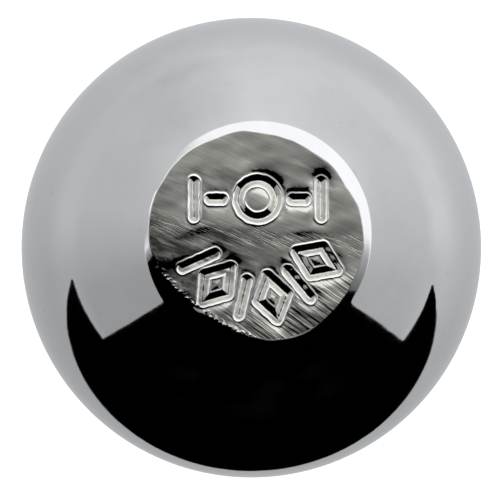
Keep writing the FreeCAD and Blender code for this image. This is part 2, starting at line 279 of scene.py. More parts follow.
def rough_side(x, y):
    """One over the hand-ground bevel at the lower left, falling to nothing round it."""
    heading = np.degrees(np.arctan2(y, x)) % 360
    return smooth_step(183, 199, heading) * smooth_step(286, 264, heading)


def cap_height(x, y):
    """Height above the ball's centre of the land, its bevel and the ball's top."""
    r = np.hypot(x, y)
    ball = np.sqrt(np.maximum(BALL_R**2 - r * r, 0))
    land = LAND - LAND_DROP
    land = land + 0.017 * waves(x, y, 5.0, 3) + 0.005 * waves(x, y, 2.0, 5)
    land = land + 0.0006 * streaks(x, y, -25, 5.0, 0.8, 7)
    shelf = y - 0.3 - 0.12 * x / 5 + 0.3 * waves(x, y, 3.0, 9)
    fall = (0.03 + 0.02 * waves(x, y, 4.0, 15)) * smooth_step(10.2, 8.0, r)
    land = land - fall * smooth_step(0.9, -0.8, shelf) * smooth_step(-5.0, -0.8, shelf)
    away = from_marks(x, y) + 0.014 * waves(x, y, 0.9, 11)
    sink = 0.10 + 0.17 * smooth_step(-3, 3, x) * smooth_step(1, 4, y) + 0.10 * smooth_step(0, -3, y)
    land = land - sink * np.exp(-((away / 0.88) ** 2))
    land = land + LIP_HIGH * np.exp(-(((away - LIP_AWAY) / LIP_WIDE) ** 2))
    land = land - GROOVE_DEPTH * (1 - smooth_step(0.0, GROOVE_HALF, away))

    inner = bevel_radius(x, y)
    bevel = LAND - (r - inner) * np.minimum(FLAT_DROP / (FLAT_R - inner), 0.48)
    beyond = np.abs(r - inner) + 2 * (1 - rough_side(x, y))
    edge = np.exp(-((beyond / 0.22) ** 2))
    bevel = bevel + 0.004 * waves(x, y, 6.0, 13) + 0.02 * edge * waves(x, y, 0.45, 17)
    burr = 0.045 * np.exp(-((beyond / 0.18) ** 2)) * np.maximum(waves(x, y, 0.42, 29), 0)
    top = soft_min(land, bevel, 0.02) + burr
    return soft_min(top, ball, 0.02)


def cap_normal(x, y):
    """Normals of the cap. Its lower left side leans a little further than its height says."""
    step = 0.02
    fall_x = (cap_height(x + step, y) - cap_height(x - step, y)) / (2 * step)
    fall_y = (cap_height(x, y + step) - cap_height(x, y - step)) / (2 * step)
    r = np.hypot(x, y)
    inner = bevel_radius(x, y)
    outer = smooth_step(0.1, -0.05, r - FLAT_R)
    lean = 0.12 * rough_side(x, y) * smooth_step(-0.03, 0.12, r - inner) * outer
    roll_x, roll_y = math.cos(math.radians(205)), math.sin(math.radians(205))
    roll = 0.022 * np.clip(x * roll_x + y * roll_y - 5.5, 0, 4) * smooth_step(0.1, -0.1, r - inner)
    fall_x = fall_x - lean * math.cos(math.radians(234)) - roll * roll_x
    fall_y = fall_y - lean * math.sin(math.radians(234)) - roll * roll_y
    return np.stack([-fall_x, -fall_y, np.ones_like(x)], axis=-1)


def disc_grid(cells):
    """A square grid of points, bent into the unit disc, with its edge on the circle."""
    line = np.linspace(-1, 1, cells + 1)
    u, v = np.meshgrid(line, line)
    wide = np.abs(u) >= np.abs(v)
    reach = np.where(wide, u, v)
    safe_u = np.where(u == 0, 1, u)
    safe_v = np.where(v == 0, 1, v)
    turn = np.where(wide, TURN / 8 * v / safe_u, TURN / 4 - TURN / 8 * u / safe_v)
    return reach * np.cos(turn), reach * np.sin(turn)


def ring_angles():
    """Angles round the stud, with a point on each corner of the flange's wrench flats."""
    angles = np.arange(SEGMENTS) * TURN / SEGMENTS
    corner = math.asin(WRENCH_HALF / FLANGE_R)
    for target in (corner, math.pi - corner, math.pi + corner, TURN - corner):
        angles[np.argmin(np.abs(angles - target))] = target
    return np.append(angles, TURN)


def fine_cells(x, y):
    """Which cells of the cap's grid hold a mark's edge or the land's edge, and are split finely."""
    away = from_marks(x, y)
    edge = np.abs(np.hypot(x, y) - bevel_radius(x, y))
    wanted = ((away > 0.15) & (away < 0.78)) | (edge < 0.14)
    blocks = wanted[:-1, :-1].reshape(CAP_CELLS, CAP_SPLIT, CAP_CELLS, CAP_SPLIT)
    return blocks.any(axis=(1, 3))


def add_cap(stud, angles):
    """The ball's top as a grid whose cells are split where the surface has fine detail."""
    split = CAP_SPLIT
    x, y = disc_grid(CAP_CELLS * split)
    x, y = x * CAP_R, y * CAP_R
    fine = np.pad(fine_cells(x, y), 1)
    width = CAP_CELLS * split + 1
    faces = []
    for row in range(CAP_CELLS):
        for column in range(CAP_CELLS):
            base = row * split * width + column * split
            if fine[row + 1, column + 1]:
                for i in range(split):
                    for j in range(split):
                        a = base + i * width + j
                        faces.append([a, a + 1, a + width + 1, a + width])
                continue
            ring = []
            for start, step, beside in (
                (base, 1, fine[row, column + 1]),
                (base + split, width, fine[row + 1, column + 2]),
                (base + split + split * width, -1, fine[row + 2, column + 1]),
                (base + split * width, -width, fine[row + 1, column]),
            ):
                ring += [start + k * step for k in range(split)] if beside else [start]
            faces.append(ring)
    points = np.stack([x, y, BALL_Z + cap_height(x, y)], axis=2).reshape(-1, 3)
    normals = cap_normal(x, y).reshape(-1, 3)
    away = from_marks(x, y)
    # Slot 3 holds the marks' edges, whose brighter base colour is a painted highlight.
    slots = np.where((away > GROOVE_HALF - 0.1) & (away < LIP_AWAY + LIP_WIDE), 3, 1)
    slots = np.where(np.hypot(x, y) > bevel_radius(x, y), 0, slots).ravel().tolist()
    for slot in (0, 1, 3):
        stud.add(points, normals, [face for face in faces if slots[face[0]] == slot], slot)

    # The cap's rim has three points to each one of the ball's next ring.
    rim = np.arange(4 * CAP_CELLS + 1) * TURN / (4 * CAP_CELLS)
    start = math.asin(CAP_R / BALL_R)
    step = math.radians(0.8)
    rings = []
    for turns, polar in ((rim, start), (angles, start + step)):
        flat = np.full_like(turns, math.cos(polar))
        rings.append(
            np.stack([math.sin(polar) * np.cos(turns), math.sin(polar) * np.sin(turns), flat], axis=1)
        )
    far = len(rim)
    faces = []
    for k in range(SEGMENTS):
        near = 3 * k
        faces.append([far + k, near, near + 1])
        faces.append([far + k, near + 1, near + 2, far + k + 1])
        faces.append([far + k + 1, near + 2, near + 3])
    points = np.concatenate(rings)
    stud.add(points * BALL_R + np.array([0, 0, BALL_Z]), points, faces)
    return start + step


def add_ball_and_neck(stud, angles, start):
    """The ball from the cap down, the waisted neck and the start of the flange's top."""
    upper_r = NECK_R + NECK_UPPER
    upper_z = BALL_Z - math.sqrt((BALL_R + NECK_UPPER) ** 2 - upper_r**2)
    lower_r = NECK_R + NECK_LOWER
    lower_z = FLANGE_RIM + (FLANGE_R - lower_r) * math.tan(FLANGE_SLOPE)
    lower_z += NECK_LOWER / math.cos(FLANGE_SLOPE)
    touch = math.atan2(upper_z - BALL_Z, upper_r)
    sections = [
        arc_rows(0, BALL_Z, BALL_R, TURN / 4 - start, touch, 50),
        arc_rows(upper_r, upper_z, NECK_UPPER, touch + math.pi, math.pi, 10, inward=True),
        ([NECK_R] * 3, np.linspace(upper_z, lower_z, 3), [1] * 3, [0] * 3),
        arc_rows(
            lower_r, lower_z, NECK_LOWER, math.pi, TURN * 0.75 - FLANGE_SLOPE, 14, inward=True
        ),
    ]
    for section in sections:
        stud.grid(*turned(*section, angles))
    return sections[-1][0][-1]


def flange_outline(angles):
    """Radius of the flange's outline, a circle with two wrench flats, and its side's normal."""
    sin, cos = np.sin(angles), np.cos(angles)
    on_flat = np.abs(sin) > WRENCH_HALF / FLANGE_R - 1e-9
    flat_r = WRENCH_HALF / np.maximum(np.abs(sin), 1e-9)
    radius = np.where(on_flat, flat_r, FLANGE_R)
    return radius, on_flat, cos, sin


def add_flange(stud, angles, inner_r):
    """The flange's sloping top, rim, wrench flats and seat, with softened edges."""
    soft = 0.35
    radius, on_flat, cos, sin = flange_outline(angles)
    slope_r, slope_z = math.sin(FLANGE_SLOPE), math.cos(FLANGE_SLOPE)
    tan = math.tan(FLANGE_SLOPE)
    flat_ones = np.ones_like(angles)

    def rows(radii, heights, normals_r, normals_z, side):
        points = np.stack(
            [np.stack([r * cos, r * sin, z * flat_ones], axis=1) for r, z in zip(radii, heights)]
        )
        normals = np.stack(
            [
                np.stack([n * side[:, 0], n * side[:, 1], m * flat_ones], axis=1)
                for n, m in zip(normals_r, normals_z)
            ]
        )
        return points, normals

    outward = np.stack([cos, sin], axis=1)
    shares = np.linspace(0, 1, 6)
    radii = [inner_r + (radius - soft - inner_r) * share for share in shares]
    heights = [FLANGE_RIM + (FLANGE_R - r) * tan for r in radii]
    stud.grid(*rows(radii, heights, [slope_r] * 6, [slope_z] * 6, outward))

    # The rim is cut into stretches, so that the corners between arcs and flats stay crisp.
    corner = math.asin(WRENCH_HALF / FLANGE_R)
    stretches = [
        (0, corner, None),
        (corner, math.pi - corner, 1),
        (math.pi - corner, math.pi + corner, None),
        (math.pi + corner, TURN - corner, -1),
        (TURN - corner, TURN, None),
    ]
    foot_all = np.where(on_flat, np.maximum(0.8 - (FLANGE_R - radius), soft), 0.8)
    for low, high, flat_side in stretches:
        picked = (angles > low - 1e-9) & (angles < high + 1e-9)
        c, s = cos[picked], sin[picked]
        edge_r = radius[picked]
        if flat_side is None:
            side = np.stack([c, s], axis=1)
        else:
            side = np.stack([0 * c, flat_side + 0 * s], axis=1)
        foot = foot_all[picked]
        ones = np.ones_like(c)
        top_z = FLANGE_RIM + (FLANGE_R - edge_r) * tan
        edge_top = top_z + soft * tan
        profile = [
            (edge_r - soft, edge_top, slope_r, slope_z),
            (edge_r - 0.1, top_z - 0.05, math.sqrt(0.5), math.sqrt(0.5)),
            (edge_r, top_z - soft, 1.0, 0.0),
            (edge_r, 0 * top_z + foot + 0.15, 1.0, 0.0),
            (edge_r - 0.04, 0 * top_z + foot, math.cos(0.4), -math.sin(0.4)),
            (edge_r - foot * 0.96, 0 * top_z + 0.05, math.sin(0.4), -math.cos(0.4)),
            (edge_r - foot - 0.15, 0 * top_z, 0.0, -1.0),
        ]
        points = np.stack([np.stack([r * c, r * s, z], axis=1) for r, z, _, _ in profile])
        normals = []
        for _, _, n, m in profile:
            normals.append(np.stack([n * side[:, 0], n * side[:, 1], m * ones], axis=1))
        normals = np.stack(normals)
        if flat_side is not None:
            normals[0] = np.stack([slope_r * c, slope_r * s, slope_z * ones], axis=1)
        stud.grid(points, normals)

    # The seat, from the rim in to a small fillet at the shank.
    outer = radius - foot_all - 0.15
    fillet = 0.3
    shares = np.linspace(0, 1, 5)
    radii = [outer + (SHANK_R + fillet - outer) * share for share in shares]
    stud.grid(*rows(radii, [0.0] * 5, [0.0] * 5, [-1.0] * 5, outward))
    bend = np.linspace(0, TURN / 4, 5)
    radii = [SHANK_R + fillet - fillet * math.sin(t) + 0 * cos for t in bend]
    heights = [-fillet + fillet * math.cos(t) for t in bend]
    stud.grid(
        *rows(radii, heights, [math.sin(t) for t in bend], [-math.cos(t) for t in bend], outward)
    )
    return -fillet


def shank_radius(turn, z):
    """Radius of the threaded shank at an angle and a height."""
    body = np.where(z > -PLAIN_LENGTH, SHANK_R, THREAD_R)
    body = soft_min(np.maximum(THREAD_R, SHANK_R - (-PLAIN_LENGTH - z)), body + 0.4, 0.02)
    body = np.minimum(body, SHANK_R)
    end = THREAD_R - (SHANK_END + 1.6 - z)
    body = soft_min(body, end, 0.25)
    phase = z - THREAD_TOP - PITCH * turn / TURN
    away = phase - PITCH * np.round(phase / PITCH)
    centre = z - away
    lift = np.maximum(centre - THREAD_TOP, 0) / PITCH * 1.758
    root_half = PITCH * 7 / 16 - (SHANK_R - THREAD_ROOT) * math.tan(math.radians(30))
    flank = (np.sqrt(away * away + 0.02) - root_half) / math.tan(math.radians(30))
    groove = -soft_min(-(THREAD_ROOT + flank), -THREAD_ROOT + 0 * z, 0.5) + lift
    return soft_min(body, groove, 0.16)


def revolved_field(function, angles, heights, outward=1):
    """Points and normals of the surface r = function(turn, z), from arrays of one shape."""
    step = 0.004
    r = function(angles, heights)
    along_turn = (function(angles + step, heights) - function(angles - step, heights)) / (2 * step)
    along_z = (function(angles, heights + step) - function(angles, heights - step)) / (2 * step)
    cos, sin = np.cos(angles), np.sin(angles)
    points = np.stack([r * cos, r * sin, heights], axis=2)
    normals = np.stack([cos + along_turn / r * sin, sin - along_turn / r * cos, -along_z], axis=2)
    return points, normals * outward


def add_shank(stud, angles, top):
    """The plain shank, the right-hand thread with its run-out, and the turned end."""
    meet = -PLAIN_LENGTH + 0.6
    heights = np.array([top, top - 1.5, (top + meet) / 2, meet + 0.4, meet])
    stud.grid(*turned([SHANK_R] * 5, heights, [1] * 5, [0] * 5, angles))
    per_turn = 8
    low = int((SHANK_END - meet) / PITCH - 2) * per_turn
    rows = np.arange(low, per_turn) * PITCH / per_turn
    turn, z = np.meshgrid(angles, rows)
    z = np.clip(z + THREAD_TOP + PITCH * turn / TURN + PITCH, SHANK_END, meet)
    points, normals = revolved_field(shank_radius, turn, z)
    stud.grid(points, normals, slot=2)
    end_r = shank_radius(angles, np.full_like(angles, SHANK_END))
    cos, sin = np.cos(angles), np.sin(angles)
    shares = [1.0, 0.97, 0.7, 0.35, 0.0]
    points = np.stack(
        [np.stack([end_r * s * cos, end_r * s * sin, SHANK_END + 0 * cos], axis=1) for s in shares]
    )
    normals = np.zeros_like(points)
    normals[:, :, 2] = -1
    stud.grid(points, normals, slot=2)


def make_stud(materials):
    stud = Builder()
    angles = ring_angles()
    start = add_cap(stud, angles)
    inner_r = add_ball_and_neck(stud, angles, start)
    top = add_flange(stud, angles, inner_r)
    add_shank(stud, angles, top)
    piece = stud.object("stud_forging", materials)
    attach(piece, "ball_stud")
    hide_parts("ball_stud")


# Nut


NUT_HALF = NUT_HIGH.x
NUT_FACE_R = 13.6
NUT_BORE_R = 8.25
NUT_ROOT_R = 9.65
NUT_MOUTH_R = 9.95
FLANK = math.tan(math.radians(30))


def nut_side(turn, z):
    """Radius of the nut's outside: six flats, with a 30 degree cone at each face."""
    off = (turn + TURN / 12) % (TURN / 6) - TURN / 12
    ahead = NUT_HALF / np.cos(off)
    behind = NUT_HALF / np.cos(TURN / 6 - np.abs(off))
    hexagon = soft_min(ahead, behind, 0.45)
    low = NUT_FACE_R + (z - NUT_LOW.z) / FLANK
    high = NUT_FACE_R + (NUT_HIGH.z - z) / FLANK
    return soft_min(soft_min(hexagon, low, 0.2), high, 0.2)


def nut_thread(turn, z):
    """Radius of the nut's hole: a right-hand thread with a cone at each mouth."""
    phase = z - SHANK_END - PITCH / 2 - PITCH * turn / TURN
    away = phase - PITCH * np.round(phase / PITCH)
    groove = NUT_ROOT_R - (np.sqrt(away * away + 0.004) - 0.17) / FLANK
    thread = -soft_min(-NUT_BORE_R + 0 * z, -groove, 0.12)
    thread = soft_min(thread, NUT_ROOT_R + 0 * z, 0.1)
    mouth = NUT_MOUTH_R - np.minimum(z - NUT_LOW.z, NUT_HIGH.z - z)
    return -soft_min(-thread, -mouth, 0.08)


def make_nut(material):
    nut = Builder()
    corners = (np.arange(6) + 0.5) * TURN / 6
    near = np.radians([-3, -2, -1.2, -0.6, 0, 0.6, 1.2, 2, 3])
    close = (corners[:, None] + near).ravel()
    even = np.arange(144) * TURN / 144
    even = even[np.abs(even[:, None] - corners).min(axis=1) > math.radians(3.5)]
    angles = np.sort(np.concatenate([even, close]))
    angles = np.append(angles, angles[0] + TURN)
    cone = 0.07
    steps = np.concatenate([np.linspace(cone, 2.0, 16), [2.6, 4.0, 6.0]])
    low, high = NUT_LOW.z, NUT_HIGH.z
    levels = np.concatenate([low + steps, [(low + high) / 2], (high - steps)[::-1]])
    turn, z = np.meshgrid(angles, levels)
    nut.grid(*revolved_field(nut_side, turn, z))
    for face_z, facing in ((low, -1), (high, 1)):
        radii = [NUT_FACE_R + cone / FLANK, NUT_FACE_R - 0.05, NUT_FACE_R - 0.25, 12.0, 10.4]
        radii += [NUT_MOUTH_R + 0.12, NUT_MOUTH_R]
        heights = [face_z - facing * cone] + [face_z] * 6
        tilts = [0.5, 0.15, 0, 0, 0, 0, -0.4]
        nut.grid(*turned(radii, heights, tilts, [facing * 0.87] + [facing] * 6, angles))
    per_turn = 9
    rows = np.arange(-2 * per_turn, int((high - low) / PITCH + 2) * per_turn + 1)
    turn, z = np.meshgrid(angles, rows * PITCH / per_turn)
    z = np.clip(z + low + PITCH * turn / TURN, low, high)
    points, normals = revolved_field(nut_thread, turn, z, -1)
    nut.grid(points, normals)
    piece = nut.object("nut_body", [material])
    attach(piece, "hex_nut")
    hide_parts("hex_nut")


# Washer


WASHER_BORE_R = 9.75
WASHER_R = 15.9
WASHER_THICK = 4.76
WASHER_PITCH = 2.36
WASHER_TURNS = 0.995
SLOT_HALF = 0.8
SLOT_MIDDLE = WASHER_THICK * 0.75
SLOT_LEAN = math.tan(math.radians(25))


def washer_edge(level):
    """Inner and outer radius of the washer's section at a height in its thickness."""
    from_face = np.minimum(level, WASHER_THICK - level)
    inner = WASHER_BORE_R + np.maximum(0.12 - from_face, 0)
    outer = WASHER_R - np.maximum(0.5 - from_face, 0)
    return inner, outer


def washer_ends(radius, level):
    """Angles at which the coil starts and stops, where the leaning slot cuts it."""
    start = np.zeros_like(radius)
    stop = np.full_like(radius, TURN * WASHER_TURNS)
    for _ in range(6):
        z = level + WASHER_PITCH * start / TURN
        cut = np.arcsin((SLOT_HALF + (z - SLOT_MIDDLE) * SLOT_LEAN) / radius)
        start = np.maximum(cut, 0)
        z = level + WASHER_PITCH * stop / TURN
        cut = TURN + np.arcsin((-SLOT_HALF + (z - SLOT_MIDDLE) * SLOT_LEAN) / radius)
        stop = np.minimum(cut, TURN * WASHER_TURNS)
    return start, stop


def make_washer(material):
    washer = Builder()
    levels = np.array([0, 0.12, 0.3, 0.5, 1.2, 1.85, 2.4, 3.1, 3.7, 4.26, 4.46, 4.64, 4.76])
    shares = np.array([0, 0.02, 0.06, 0.25, 0.5, 0.75, 0.94, 0.98, 1.0])
    inner, outer = washer_edge(levels)
    section_r = inner[:, None] + (outer - inner)[:, None] * shares
    section_z = np.repeat(levels[:, None], len(shares), axis=1)
    starts, stops = washer_ends(section_r, section_z)
    columns = np.linspace(0, 1, 161)
    base = WASHER_LOW.z

    def swept(r, z, start, stop, normal_r, normal_z):
        turn = start[:, None] + (stop - start)[:, None] * columns
        cos, sin = np.cos(turn), np.sin(turn)
        height = base + z[:, None] + WASHER_PITCH * turn / TURN
        points = np.stack([r[:, None] * cos, r[:, None] * sin, height], axis=2)
        lift = WASHER_PITCH / TURN / r[:, None] * normal_z[:, None]
        along = [normal_r[:, None] * cos + lift * sin, normal_r[:, None] * sin - lift * cos]
        flat = np.repeat(normal_z[:, None], len(columns), axis=1)
        return points, np.stack([*along, flat], axis=2)

    def side(pick, normal_r, normal_z):
        r, z = section_r[pick], section_z[pick]
        washer.grid(*swept(r, z, starts[pick], stops[pick], normal_r, normal_z))

    across = np.array([-0.7, -0.25, 0, 0, 0, 0, 0, 0.1, 0.4])
    side((0, slice(None)), across, -np.sqrt(1 - across**2))
    side((-1, slice(None)), across, np.sqrt(1 - across**2))
    rise = np.array([-0.8, -0.71, -0.71, -0.35, 0, 0, 0, 0, 0, 0.35, 0.71, 0.71, 0.8])
    side((slice(None), -1), np.sqrt(1 - rise**2), rise)
    rise = np.array([-0.7, -0.25, 0, 0, 0, 0, 0, 0, 0, 0, 0, 0.25, 0.7])
    side((slice(None), 0), -np.sqrt(1 - rise**2), rise)
    for turn, facing in ((starts, -1), (stops, 1)):
        z = base + section_z + WASHER_PITCH * turn / TURN
        points = np.stack([section_r * np.cos(turn), section_r * np.sin(turn), z], axis=2)
        leaning = (turn > 1e-6) & (turn < TURN * WASHER_TURNS - 1e-6)
        lean = np.where(leaning, SLOT_LEAN, 0.0)
        across_x = np.where(leaning, 0.0, -np.sin(turn))
        across_y = np.where(leaning, 1.0, np.cos(turn))
        normals = facing * np.stack([across_x, across_y, -lean], axis=2)
        washer.grid(points, normals)
    piece = washer.object("washer_coil", [material])
    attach(piece, "lock_washer")
    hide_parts("lock_washer")


# Materials


def new_material(name):
    material = bpy.data.materials.new(name)
    material.use_nodes = True
    tree = material.node_tree
    shader = next(node for node in tree.nodes if node.type == "BSDF_PRINCIPLED")
    return material, tree, shader


def node(tree, kind, inputs=None, **settings):
    made = tree.nodes.new(kind)
    for name, value in settings.items():
        setattr(made, name, value)
    for name, value in (inputs or {}).items():
        if isinstance(value, bpy.types.NodeSocket):
            tree.links.new(value, made.inputs[name])
        else:
            made.inputs[name].default_value = value
    return made


def noise(tree, vector, scale, detail=3.0, roughness=0.5, stretch=(1, 1, 1), lean=0.0):
    """Noise over a place, drawn out by stretch along a line that leans lean degrees from +X."""
    if lean:
        turn = {"Vector": vector, "Rotation": (0, 0, math.radians(-lean))}
        vector = node(tree, "ShaderNodeMapping", turn).outputs["Vector"]
    mapped = node(tree, "ShaderNodeMapping", {"Vector": vector, "Scale": stretch})
    return node(
        tree,
        "ShaderNodeTexNoise",
        {"Vector": mapped.outputs["Vector"], "Scale": scale, "Detail": detail, "Roughness": roughness},
    )


def bump(tree, height, distance, normal=None, strength=1.0):
    inputs = {"Height": height, "Distance": distance, "Strength": strength}
    if normal is not None:
        inputs["Normal"] = normal
    return node(tree, "ShaderNodeBump", inputs).outputs["Normal"]


def dot(tree, vector, heading):
    made = node(tree, "ShaderNodeVectorMath", {"Vector": vector}, operation="DOT_PRODUCT")
    made.inputs[1].default_value = heading
    return made.outputs["Value"]


def times(tree, first, second):
    return node(tree, "ShaderNodeMath", {0: first, 1: second}, operation="MULTIPLY").outputs["Value"]


def most(tree, first, second):
    return node(tree, "ShaderNodeMath", {0: first, 1: second}, operation="MAXIMUM").outputs["Value"]


def mix(tree, factor, first, second):
    """A colour between two constant ones."""
    made = node(tree, "ShaderNodeMix", {"Factor": factor}, data_type="RGBA")
    made.inputs["A"].default_value = (*first, 1)
    made.inputs["B"].default_value = (*second, 1)
    return made.outputs["Result"]


def spread(tree, value, low, high, from_low=0.3, from_high=0.7):
    inputs = {"Value": value, "From Min": from_low, "From Max": from_high}
    inputs |= {"To Min": low, "To Max": high}
    return node(tree, "ShaderNodeMapRange", inputs).outputs["Result"]


def chrome_ball():
    material, tree, shader = new_material("chrome_plate_ball")
    place = node(tree, "ShaderNodeTexCoord").outputs["Object"]
    shader.inputs["Metallic"].default_value = 1.0
    darkening = spread(tree, noise(tree, place, 95, 6.0, 0.7).outputs["Fac"], 0, 0.5, 0.5, 0.75)
    speck = spread(tree, noise(tree, place, 900, 1.0, 0.5).outputs["Fac"], 0, 0.5, 0.74, 0.80)
    colour = mix(tree, most(tree, darkening, speck), (0.672, 0.677, 0.687), (0.57, 0.575, 0.58))
    tree.links.new(colour, shader.inputs["Base Color"])
    smudge = noise(tree, place, 160, 4.0, 0.6).outputs["Fac"]
    tree.links.new(spread(tree, smudge, 0.03, 0.06), shader.inputs["Roughness"])
    peel = noise(tree, place, 420, 2.0, 0.5).outputs["Fac"]
    fine = noise(tree, place, 1900, 3.0, 0.6).outputs["Fac"]
    normal = bump(tree, peel, 0.000006)
    normal = bump(tree, fine, 0.0000012, normal)
    tree.links.new(normal, shader.inputs["Normal"])
    return material


def chrome_land():
    """The struck land: brushed along one heading, darkened nearly to black in streaky bands and
    towards its lower left, with saw lines at the edge.
    """
    material, tree, shader = new_material("chrome_plate_land")
    place = node(tree, "ShaderNodeTexCoord").outputs["Object"]
    shader.inputs["Metallic"].default_value = 1.0
    streaky_noise = noise(tree, place, 1, 5.0, 0.65, (130, 760, 130), -21).outputs["Fac"]
    height = dot(tree, place, (-0.1, 1, 0))
    side = spread(tree, dot(tree, place, (1, 0, 0)), 1.0, 0.35, -0.004, 0.004)
    darkening = spread(tree, streaky_noise, 0, 0.36, 0.35, 0.7)
    # Each darker band runs across the land: its lower and upper edges fade between two heights.
    for depth, low, high, weight in (
        (1.0, (-0.0066, -0.0034), (0.0006, 0.0020), side),
        (0.55, (0.0046, 0.0060), (0.0068, 0.0086), None),
        (0.85, (-0.0120, -0.0110), (-0.0082, -0.0058), None),
    ):
        band = times(tree, spread(tree, height, 0, 1, *low), spread(tree, height, 1, 0, *high))
        if weight is not None:
            band = times(tree, band, weight)
        band = times(tree, band, spread(tree, streaky_noise, 0, depth, 0.36, 0.54))
        darkening = most(tree, darkening, band)
    corner = spread(tree, dot(tree, place, (-0.87, -0.5, 0)), 0, 1, 0.0068, 0.0088)
    mottle = noise(tree, place, 1, 4.0, 0.65, (700, 1500, 700), -30).outputs["Fac"]
    corner = times(tree, corner, spread(tree, mottle, 0, 1, 0.40, 0.54))
    # The land's base colour falls nearly to black in the bands and towards its lower left corner.
    colour = mix(tree, most(tree, darkening, corner), (0.70, 0.69, 0.635), (0.10, 0.10, 0.092))
    tree.links.new(colour, shader.inputs["Base Color"])
    smudge = noise(tree, place, 300, 4.0, 0.6).outputs["Fac"]
    tree.links.new(spread(tree, smudge, 0.035, 0.08), shader.inputs["Roughness"])
    brushed = noise(tree, place, 1, 4.0, 0.6, (260, 3200, 260), -26).outputs["Fac"]
    normal = bump(tree, brushed, 0.000006)

    towards_saw = dot(tree, place, (0.3, -0.954, 0))
    sawn = noise(tree, place, 1, 2.0, 0.5, (150, 2600, 150), -36).outputs["Fac"]
    sawn = times(tree, sawn, spread(tree, towards_saw, 0, 1, 0.0054, 0.0070))
    normal = bump(tree, sawn, 0.00007, normal)

    across = dot(tree, place, (0.1, 1, 0))
    band = times(
        tree,
        spread(tree, across, 0, 1, -0.0016, -0.0006),
        spread(tree, across, 1, 0, 0.0004, 0.0014),
    )
    scratch = noise(tree, place, 1, 3.0, 0.6, (420, 5200, 420), -25).outputs["Fac"]
    scratch = times(tree, spread(tree, scratch, 0, 1, 0.53, 0.66), band)
    normal = bump(tree, scratch, -0.000009, normal)
    tree.links.new(normal, shader.inputs["Normal"])
    return material


def chrome_edge_painted_highlight():
    """The marks' raised edges, with a base colour brighter than the land round them: a painted
    highlight.
    """
    material, tree, shader = new_material("chrome_plate_edge_painted_highlight")
    place = node(tree, "ShaderNodeTexCoord").outputs["Object"]
    shader.inputs["Metallic"].default_value = 1.0
    worn = noise(tree, place, 900, 3.0, 0.6).outputs["Fac"]
    # The near-white base colour is a painted highlight along the marks' edges.
    colour = mix(tree, spread(tree, worn, 0, 1), (0.93, 0.93, 0.91), (0.82, 0.82, 0.80))
    tree.links.new(colour, shader.inputs["Base Color"])
    tree.links.new(spread(tree, worn, 0.04, 0.09), shader.inputs["Roughness"])
    normal = bump(tree, noise(tree, place, 1500, 3.0, 0.6).outputs["Fac"], 0.000004)
    tree.links.new(normal, shader.inputs["Normal"])
    return material


def chrome_thread():
    material, tree, shader = new_material("chrome_plate_thread")
    place = node(tree, "ShaderNodeTexCoord").outputs["Object"]
    shader.inputs["Base Color"].default_value = (0.64, 0.65, 0.66, 1)
    shader.inputs["Metallic"].default_value = 1.0
    smudge = noise(tree, place, 500, 4.0, 0.6).outputs["Fac"]
    tree.links.new(spread(tree, smudge, 0.08, 0.2), shader.inputs["Roughness"])
    normal = bump(tree, noise(tree, place, 1500, 3.0, 0.6).outputs["Fac"], 0.000006)
    tree.links.new(normal, shader.inputs["Normal"])
    return material


def zinc():
    """Bright zinc over machined steel: faint spangle, turning marks on the faces, a blue cast."""
    material, tree, shader = new_material("zinc_plate_nut")
    place = node(tree, "ShaderNodeTexCoord").outputs["Object"]
    shader.inputs["Metallic"].default_value = 1.0
    spangle = noise(tree, place, 420, 4.0, 0.6).outputs["Fac"]
    colour = mix(tree, spread(tree, spangle, 0, 1), (0.60, 0.615, 0.64), (0.70, 0.71, 0.715))
    tree.links.new(colour, shader.inputs["Base Color"])
    wear = noise(tree, place, 130, 5.0, 0.65).outputs["Fac"]
    tree.links.new(spread(tree, wear, 0.2, 0.38), shader.inputs["Roughness"])
    rings = node(
        tree,
        "ShaderNodeTexWave",
        {"Vector": place, "Scale": 620, "Distortion": 1.2, "Detail": 2.0, "Detail Scale": 2.0},
        wave_type="RINGS",
        rings_direction="Z",
    ).outputs["Fac"]
    normal = bump(tree, rings, 0.000005)
    normal = bump(tree, noise(tree, place, 1400, 3.0, 0.6).outputs["Fac"], 0.00001, normal)
    tree.links.new(normal, shader.inputs["Normal"])
    return material


def spring():
    """Satin plated spring steel, rolled along the coil and faintly mottled."""
    material, tree, shader = new_material("spring_steel_washer")
    place = node(tree, "ShaderNodeTexCoord").outputs["Object"]
    shader.inputs["Metallic"].default_value = 1.0
    mottle = noise(tree, place, 260, 5.0, 0.6).outputs["Fac"]
    colour = mix(tree, spread(tree, mottle, 0, 1), (0.50, 0.505, 0.51), (0.62, 0.625, 0.63))
    tree.links.new(colour, shader.inputs["Base Color"])
    wear = noise(tree, place, 700, 4.0, 0.6).outputs["Fac"]
    tree.links.new(spread(tree, wear, 0.3, 0.46), shader.inputs["Roughness"])
    rolled = noise(tree, place, 1, 3.0, 0.6, (500, 500, 4200)).outputs["Fac"]
    normal = bump(tree, rolled, 0.000012)
    normal = bump(tree, noise(tree, place, 1800, 3.0, 0.6).outputs["Fac"], 0.000008, normal)
    tree.links.new(normal, shader.inputs["Normal"])
    return material


# Studio


